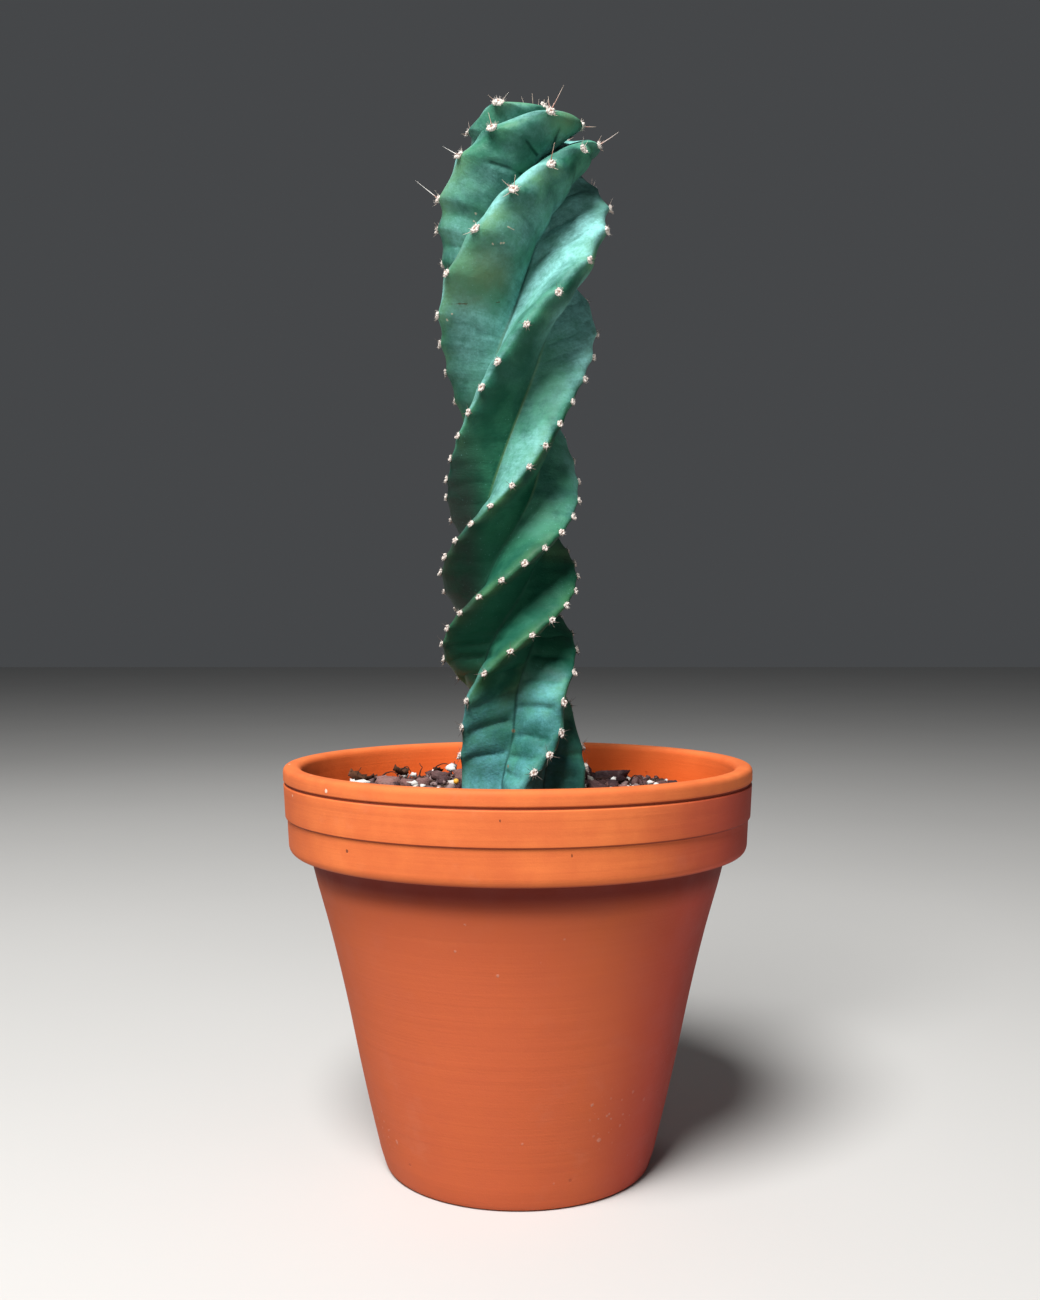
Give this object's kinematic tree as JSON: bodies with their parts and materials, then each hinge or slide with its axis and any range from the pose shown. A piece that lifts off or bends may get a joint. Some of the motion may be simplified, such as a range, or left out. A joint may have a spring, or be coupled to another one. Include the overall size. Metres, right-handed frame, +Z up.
{
  "type": "potted spiral cactus",
  "caption": "Upright columnar cactus with broad ribs that wind round the stem in a spiral, growing in a tapered clay pot with a banded rim, filled with gritty bark mix.",
  "frame": {"origin": "middle of the pot's foot, on the surface it stands on", "axes": "+Z up along the pot's axis, -Y towards the front as pictured, +X to the right seen from the front"},
  "size_m": [0.2104, 0.2104, 0.4815],
  "materials": {
    "terracotta": "matte",
    "potting_mix": "matte",
    "stem_skin": "satin",
    "areole_felt": "matte",
    "spine": "satin",
    "bark": "matte",
    "grit": "matte",
    "perlite": "matte",
    "fertiliser": "satin"
  },
  "bodies": {
    "root": {"pot": "terracotta", "potting_mix": "potting_mix", "cactus_stem": "stem_skin"}
  },
  "joints": []
}
